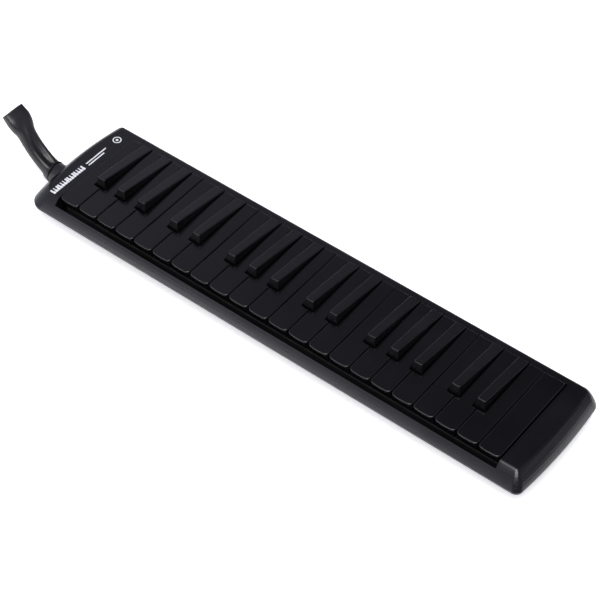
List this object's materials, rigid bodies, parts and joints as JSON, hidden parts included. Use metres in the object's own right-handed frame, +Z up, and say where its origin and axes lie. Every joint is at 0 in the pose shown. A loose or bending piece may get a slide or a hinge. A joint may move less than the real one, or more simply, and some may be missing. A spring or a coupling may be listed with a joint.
{
  "type": "melodica",
  "caption": "Handheld wind keyboard: black plastic casing, hinged piano keys over free reeds, and a removable bent mouthpiece at the bass end.",
  "frame": {"origin": "on the flat underside of the casing, midway along its length and midway front to back", "axes": "+X along the keyboard from the bass end, where the mouthpiece is, to the treble end; +Y from the player's side to the back; +Z up out of the key tops"},
  "size_m": [0.536, 0.1102, 0.0708],
  "materials": {
    "natural_key": "gloss",
    "sharp_key": "gloss",
    "upper_case": "satin gloss",
    "end_panel": "satin gloss",
    "lower_case": "fine texture",
    "steel": "ground",
    "inner_plastic": "moulded",
    "brass": "milled",
    "reed_metal": "rolled",
    "rubber": "moulded",
    "socket_plastic": "satin",
    "mouthpiece_plastic": "satin",
    "felt": "pressed felt",
    "spring_steel": "rolled",
    "button_plastic": "satin",
    "screw_steel": "blackened",
    "webbing": "woven"
  },
  "bodies": {
    "case": {"axle_bearers": "inner_plastic", "case_screws": "screw_steel", "chest_gasket": "rubber", "drain_spring": "spring_steel", "hand_strap": "webbing", "key_axle": "steel", "key_stop_felts": "felt", "lower_shell": "lower_case", "mouthpiece_socket": "socket_plastic", "reed_block": "inner_plastic", "reed_block_screws": "screw_steel", "reed_plates": "brass", "reeds": "reed_metal", "right_end_panel": "end_panel", "spring_comb": "spring_steel", "strap_anchors": "lower_case", "upper_cover": "upper_case", "wind_chest": "inner_plastic", "wind_elbow": "inner_plastic"},
    "natural_f3": {"natural_f3": "natural_key"},
    "sharp_f3": {"sharp_f3": "sharp_key"},
    "natural_g3": {"natural_g3": "natural_key"},
    "sharp_g3": {"sharp_g3": "sharp_key"},
    "natural_a3": {"natural_a3": "natural_key"},
    "sharp_a3": {"sharp_a3": "sharp_key"},
    "natural_b3": {"natural_b3": "natural_key"},
    "natural_c4": {"natural_c4": "natural_key"},
    "sharp_c4": {"sharp_c4": "sharp_key"},
    "natural_d4": {"natural_d4": "natural_key"},
    "sharp_d4": {"sharp_d4": "sharp_key"},
    "natural_e4": {"natural_e4": "natural_key"},
    "natural_f4": {"natural_f4": "natural_key"},
    "sharp_f4": {"sharp_f4": "sharp_key"},
    "natural_g4": {"natural_g4": "natural_key"},
    "sharp_g4": {"sharp_g4": "sharp_key"},
    "natural_a4": {"natural_a4": "natural_key"},
    "sharp_a4": {"sharp_a4": "sharp_key"},
    "natural_b4": {"natural_b4": "natural_key"},
    "natural_c5": {"natural_c5": "natural_key"},
    "sharp_c5": {"sharp_c5": "sharp_key"},
    "natural_d5": {"natural_d5": "natural_key"},
    "sharp_d5": {"sharp_d5": "sharp_key"},
    "natural_e5": {"natural_e5": "natural_key"},
    "natural_f5": {"natural_f5": "natural_key"},
    "sharp_f5": {"sharp_f5": "sharp_key"},
    "natural_g5": {"natural_g5": "natural_key"},
    "sharp_g5": {"sharp_g5": "sharp_key"},
    "natural_a5": {"natural_a5": "natural_key"},
    "sharp_a5": {"sharp_a5": "sharp_key"},
    "natural_b5": {"natural_b5": "natural_key"},
    "natural_c6": {"natural_c6": "natural_key"},
    "sharp_c6": {"sharp_c6": "sharp_key"},
    "natural_d6": {"natural_d6": "natural_key"},
    "sharp_d6": {"sharp_d6": "sharp_key"},
    "natural_e6": {"natural_e6": "natural_key"},
    "natural_f6": {"natural_f6": "natural_key"},
    "mouthpiece": {"mouthpiece": "mouthpiece_plastic", "mouthpiece_seal": "rubber"},
    "drain_button": {"drain_button": "button_plastic", "drain_seal": "rubber"}
  },
  "joints": [
    {"name": "natural_f3_press", "type": "hinge", "parent": "case", "child": "natural_f3", "pos_m": [0, 0.03, 0.0232], "axis": [1, 0, 0], "range_deg": [0, 3.5], "stiffness_Nm_per_rad": 0.25, "springref_deg": -8.59},
    {"name": "sharp_f3_press", "type": "hinge", "parent": "case", "child": "sharp_f3", "pos_m": [0, 0.03, 0.0232], "axis": [1, 0, 0], "range_deg": [0, 3.5], "stiffness_Nm_per_rad": 0.25, "springref_deg": -8.59},
    {"name": "natural_g3_press", "type": "hinge", "parent": "case", "child": "natural_g3", "pos_m": [0, 0.03, 0.0232], "axis": [1, 0, 0], "range_deg": [0, 3.5], "stiffness_Nm_per_rad": 0.25, "springref_deg": -8.59},
    {"name": "sharp_g3_press", "type": "hinge", "parent": "case", "child": "sharp_g3", "pos_m": [0, 0.03, 0.0232], "axis": [1, 0, 0], "range_deg": [0, 3.5], "stiffness_Nm_per_rad": 0.25, "springref_deg": -8.59},
    {"name": "natural_a3_press", "type": "hinge", "parent": "case", "child": "natural_a3", "pos_m": [0, 0.03, 0.0232], "axis": [1, 0, 0], "range_deg": [0, 3.5], "stiffness_Nm_per_rad": 0.25, "springref_deg": -8.59},
    {"name": "sharp_a3_press", "type": "hinge", "parent": "case", "child": "sharp_a3", "pos_m": [0, 0.03, 0.0232], "axis": [1, 0, 0], "range_deg": [0, 3.5], "stiffness_Nm_per_rad": 0.25, "springref_deg": -8.59},
    {"name": "natural_b3_press", "type": "hinge", "parent": "case", "child": "natural_b3", "pos_m": [0, 0.03, 0.0232], "axis": [1, 0, 0], "range_deg": [0, 3.5], "stiffness_Nm_per_rad": 0.25, "springref_deg": -8.59},
    {"name": "natural_c4_press", "type": "hinge", "parent": "case", "child": "natural_c4", "pos_m": [0, 0.03, 0.0232], "axis": [1, 0, 0], "range_deg": [0, 3.5], "stiffness_Nm_per_rad": 0.25, "springref_deg": -8.59},
    {"name": "sharp_c4_press", "type": "hinge", "parent": "case", "child": "sharp_c4", "pos_m": [0, 0.03, 0.0232], "axis": [1, 0, 0], "range_deg": [0, 3.5], "stiffness_Nm_per_rad": 0.25, "springref_deg": -8.59},
    {"name": "natural_d4_press", "type": "hinge", "parent": "case", "child": "natural_d4", "pos_m": [0, 0.03, 0.0232], "axis": [1, 0, 0], "range_deg": [0, 3.5], "stiffness_Nm_per_rad": 0.25, "springref_deg": -8.59},
    {"name": "sharp_d4_press", "type": "hinge", "parent": "case", "child": "sharp_d4", "pos_m": [0, 0.03, 0.0232], "axis": [1, 0, 0], "range_deg": [0, 3.5], "stiffness_Nm_per_rad": 0.25, "springref_deg": -8.59},
    {"name": "natural_e4_press", "type": "hinge", "parent": "case", "child": "natural_e4", "pos_m": [0, 0.03, 0.0232], "axis": [1, 0, 0], "range_deg": [0, 3.5], "stiffness_Nm_per_rad": 0.25, "springref_deg": -8.59},
    {"name": "natural_f4_press", "type": "hinge", "parent": "case", "child": "natural_f4", "pos_m": [0, 0.03, 0.0232], "axis": [1, 0, 0], "range_deg": [0, 3.5], "stiffness_Nm_per_rad": 0.25, "springref_deg": -8.59},
    {"name": "sharp_f4_press", "type": "hinge", "parent": "case", "child": "sharp_f4", "pos_m": [0, 0.03, 0.0232], "axis": [1, 0, 0], "range_deg": [0, 3.5], "stiffness_Nm_per_rad": 0.25, "springref_deg": -8.59},
    {"name": "natural_g4_press", "type": "hinge", "parent": "case", "child": "natural_g4", "pos_m": [0, 0.03, 0.0232], "axis": [1, 0, 0], "range_deg": [0, 3.5], "stiffness_Nm_per_rad": 0.25, "springref_deg": -8.59},
    {"name": "sharp_g4_press", "type": "hinge", "parent": "case", "child": "sharp_g4", "pos_m": [0, 0.03, 0.0232], "axis": [1, 0, 0], "range_deg": [0, 3.5], "stiffness_Nm_per_rad": 0.25, "springref_deg": -8.59},
    {"name": "natural_a4_press", "type": "hinge", "parent": "case", "child": "natural_a4", "pos_m": [0, 0.03, 0.0232], "axis": [1, 0, 0], "range_deg": [0, 3.5], "stiffness_Nm_per_rad": 0.25, "springref_deg": -8.59},
    {"name": "sharp_a4_press", "type": "hinge", "parent": "case", "child": "sharp_a4", "pos_m": [0, 0.03, 0.0232], "axis": [1, 0, 0], "range_deg": [0, 3.5], "stiffness_Nm_per_rad": 0.25, "springref_deg": -8.59},
    {"name": "natural_b4_press", "type": "hinge", "parent": "case", "child": "natural_b4", "pos_m": [0, 0.03, 0.0232], "axis": [1, 0, 0], "range_deg": [0, 3.5], "stiffness_Nm_per_rad": 0.25, "springref_deg": -8.59},
    {"name": "natural_c5_press", "type": "hinge", "parent": "case", "child": "natural_c5", "pos_m": [0, 0.03, 0.0232], "axis": [1, 0, 0], "range_deg": [0, 3.5], "stiffness_Nm_per_rad": 0.25, "springref_deg": -8.59},
    {"name": "sharp_c5_press", "type": "hinge", "parent": "case", "child": "sharp_c5", "pos_m": [0, 0.03, 0.0232], "axis": [1, 0, 0], "range_deg": [0, 3.5], "stiffness_Nm_per_rad": 0.25, "springref_deg": -8.59},
    {"name": "natural_d5_press", "type": "hinge", "parent": "case", "child": "natural_d5", "pos_m": [0, 0.03, 0.0232], "axis": [1, 0, 0], "range_deg": [0, 3.5], "stiffness_Nm_per_rad": 0.25, "springref_deg": -8.59},
    {"name": "sharp_d5_press", "type": "hinge", "parent": "case", "child": "sharp_d5", "pos_m": [0, 0.03, 0.0232], "axis": [1, 0, 0], "range_deg": [0, 3.5], "stiffness_Nm_per_rad": 0.25, "springref_deg": -8.59},
    {"name": "natural_e5_press", "type": "hinge", "parent": "case", "child": "natural_e5", "pos_m": [0, 0.03, 0.0232], "axis": [1, 0, 0], "range_deg": [0, 3.5], "stiffness_Nm_per_rad": 0.25, "springref_deg": -8.59},
    {"name": "natural_f5_press", "type": "hinge", "parent": "case", "child": "natural_f5", "pos_m": [0, 0.03, 0.0232], "axis": [1, 0, 0], "range_deg": [0, 3.5], "stiffness_Nm_per_rad": 0.25, "springref_deg": -8.59},
    {"name": "sharp_f5_press", "type": "hinge", "parent": "case", "child": "sharp_f5", "pos_m": [0, 0.03, 0.0232], "axis": [1, 0, 0], "range_deg": [0, 3.5], "stiffness_Nm_per_rad": 0.25, "springref_deg": -8.59},
    {"name": "natural_g5_press", "type": "hinge", "parent": "case", "child": "natural_g5", "pos_m": [0, 0.03, 0.0232], "axis": [1, 0, 0], "range_deg": [0, 3.5], "stiffness_Nm_per_rad": 0.25, "springref_deg": -8.59},
    {"name": "sharp_g5_press", "type": "hinge", "parent": "case", "child": "sharp_g5", "pos_m": [0, 0.03, 0.0232], "axis": [1, 0, 0], "range_deg": [0, 3.5], "stiffness_Nm_per_rad": 0.25, "springref_deg": -8.59},
    {"name": "natural_a5_press", "type": "hinge", "parent": "case", "child": "natural_a5", "pos_m": [0, 0.03, 0.0232], "axis": [1, 0, 0], "range_deg": [0, 3.5], "stiffness_Nm_per_rad": 0.25, "springref_deg": -8.59},
    {"name": "sharp_a5_press", "type": "hinge", "parent": "case", "child": "sharp_a5", "pos_m": [0, 0.03, 0.0232], "axis": [1, 0, 0], "range_deg": [0, 3.5], "stiffness_Nm_per_rad": 0.25, "springref_deg": -8.59},
    {"name": "natural_b5_press", "type": "hinge", "parent": "case", "child": "natural_b5", "pos_m": [0, 0.03, 0.0232], "axis": [1, 0, 0], "range_deg": [0, 3.5], "stiffness_Nm_per_rad": 0.25, "springref_deg": -8.59},
    {"name": "natural_c6_press", "type": "hinge", "parent": "case", "child": "natural_c6", "pos_m": [0, 0.03, 0.0232], "axis": [1, 0, 0], "range_deg": [0, 3.5], "stiffness_Nm_per_rad": 0.25, "springref_deg": -8.59},
    {"name": "sharp_c6_press", "type": "hinge", "parent": "case", "child": "sharp_c6", "pos_m": [0, 0.03, 0.0232], "axis": [1, 0, 0], "range_deg": [0, 3.5], "stiffness_Nm_per_rad": 0.25, "springref_deg": -8.59},
    {"name": "natural_d6_press", "type": "hinge", "parent": "case", "child": "natural_d6", "pos_m": [0, 0.03, 0.0232], "axis": [1, 0, 0], "range_deg": [0, 3.5], "stiffness_Nm_per_rad": 0.25, "springref_deg": -8.59},
    {"name": "sharp_d6_press", "type": "hinge", "parent": "case", "child": "sharp_d6", "pos_m": [0, 0.03, 0.0232], "axis": [1, 0, 0], "range_deg": [0, 3.5], "stiffness_Nm_per_rad": 0.25, "springref_deg": -8.59},
    {"name": "natural_e6_press", "type": "hinge", "parent": "case", "child": "natural_e6", "pos_m": [0, 0.03, 0.0232], "axis": [1, 0, 0], "range_deg": [0, 3.5], "stiffness_Nm_per_rad": 0.25, "springref_deg": -8.59},
    {"name": "natural_f6_press", "type": "hinge", "parent": "case", "child": "natural_f6", "pos_m": [0, 0.03, 0.0232], "axis": [1, 0, 0], "range_deg": [0, 3.5], "stiffness_Nm_per_rad": 0.25, "springref_deg": -8.59},
    {"name": "mouthpiece_pull", "type": "slide", "parent": "case", "child": "mouthpiece", "axis": [-1, 0, 0], "range_m": [0, 0.014]},
    {"name": "drain_press", "type": "slide", "parent": "case", "child": "drain_button", "axis": [0, 0, 1], "range_m": [0, 0.0018], "stiffness_N_per_m": 400, "springref_m": -0.001, "deforming": ["drain_spring"]}
  ]
}
